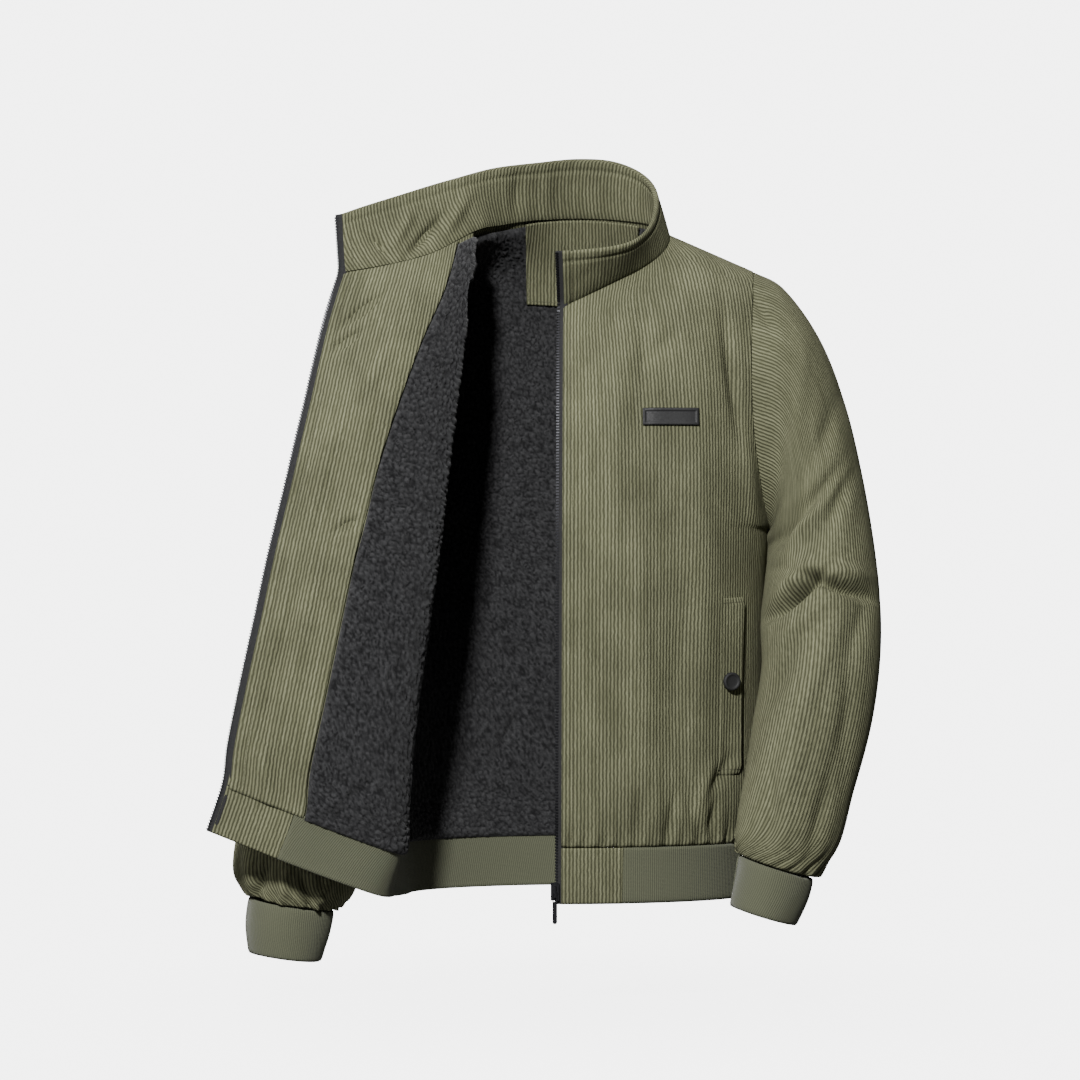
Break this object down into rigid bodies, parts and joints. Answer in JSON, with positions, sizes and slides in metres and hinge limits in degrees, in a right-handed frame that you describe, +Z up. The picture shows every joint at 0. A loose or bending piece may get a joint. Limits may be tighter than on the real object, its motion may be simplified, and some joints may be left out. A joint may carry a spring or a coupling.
{
  "type": "corduroy jacket",
  "caption": "Olive corduroy bomber jacket with stand collar, grey pile lining, rib knit hem and cuffs, its right front held open.",
  "frame": {"origin": "middle of the neck at shoulder height, where the wearer holds the jacket up", "axes": "+X to the wearer's left, +Y to the back, +Z up"},
  "size_m": [0.6628, 0.2585, 0.804],
  "materials": {
    "corduroy_olive": "medium wale cotton corduroy, brushed pile, olive",
    "rib_knit_olive": "fine rib knit, olive",
    "pile_charcoal": "curly fleece pile, charcoal",
    "black_plastic": "satin black moulded",
    "zip_metal": "dark painted zinc and brass"
  },
  "bodies": {
    "garment": {"back_panel": "corduroy_olive", "chest_label": "black_plastic", "collar": "corduroy_olive", "facing_left": "corduroy_olive", "facing_right": "corduroy_olive", "hem_rib": "rib_knit_olive", "hem_tab_left": "corduroy_olive", "hem_tab_right": "corduroy_olive", "left_cuff": "rib_knit_olive", "left_front": "corduroy_olive", "left_sleeve": "corduroy_olive", "lining_back": "pile_charcoal", "lining_left_front": "pile_charcoal", "lining_right_front": "pile_charcoal", "neck_patch": "corduroy_olive", "pocket_welt_left": "corduroy_olive", "pocket_welt_right": "corduroy_olive", "right_cuff": "rib_knit_olive", "right_front": "corduroy_olive", "right_sleeve": "corduroy_olive", "snap_left": "black_plastic", "snap_right": "black_plastic", "zip_left": "zip_metal", "zip_right": "zip_metal", "zip_slider": "zip_metal"},
    "zip_pull": {"zip_pull": "zip_metal"}
  },
  "joints": [
    {"name": "zip_pull_hinge", "type": "hinge", "parent": "garment", "child": "zip_pull", "pos_m": [-0.02256, -0.10778, -0.643], "axis": [-1, 0, 0], "range_deg": [0, 165]}
  ]
}
